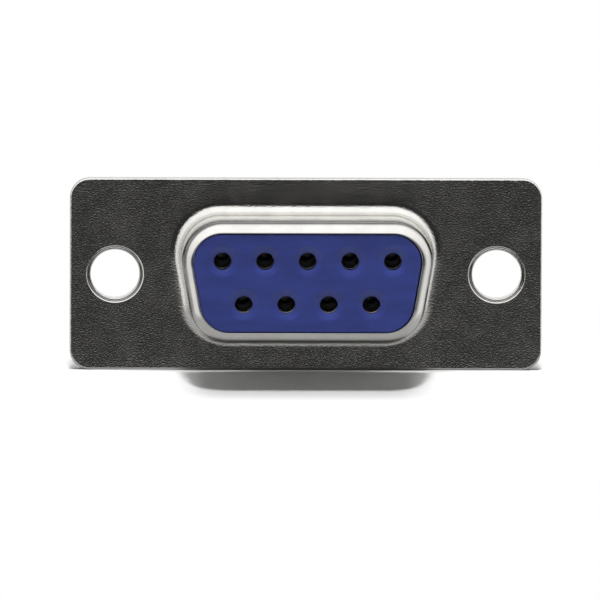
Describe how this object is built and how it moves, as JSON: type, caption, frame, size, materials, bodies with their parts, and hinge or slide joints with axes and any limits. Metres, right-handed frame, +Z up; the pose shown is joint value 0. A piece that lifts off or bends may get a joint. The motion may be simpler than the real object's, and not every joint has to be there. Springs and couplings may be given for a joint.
{
  "type": "d-sub connector",
  "caption": "Panel connector with a D-shaped metal shell on a flange with screw holes, socket contacts in a blue insulator, and solder cups behind.",
  "frame": {"origin": "on the front face of the flange, midway between the centres of the two screw holes", "axes": "-Y out of the mating face, +Z up towards the wide side of the D, +X to the right when the mating face is seen from the front"},
  "size_m": [0.0308, 0.0165, 0.0126],
  "materials": {
    "shell": "bright nickel plate over drawn steel sheet, fine orange-peel",
    "eyelet": "bright nickel plate",
    "insulator": "blue moulded thermoplastic, satin",
    "contact": "tin plate over copper alloy, satin"
  },
  "bodies": {
    "root": {"front_shell": "shell", "rear_shell": "shell", "front_insulator": "insulator", "rear_insulator": "insulator", "socket_contact_1": "contact", "socket_contact_2": "contact", "socket_contact_3": "contact", "socket_contact_4": "contact", "socket_contact_5": "contact", "socket_contact_6": "contact", "socket_contact_7": "contact", "socket_contact_8": "contact", "socket_contact_9": "contact", "eyelet_left": "eyelet", "eyelet_right": "eyelet"}
  },
  "joints": []
}
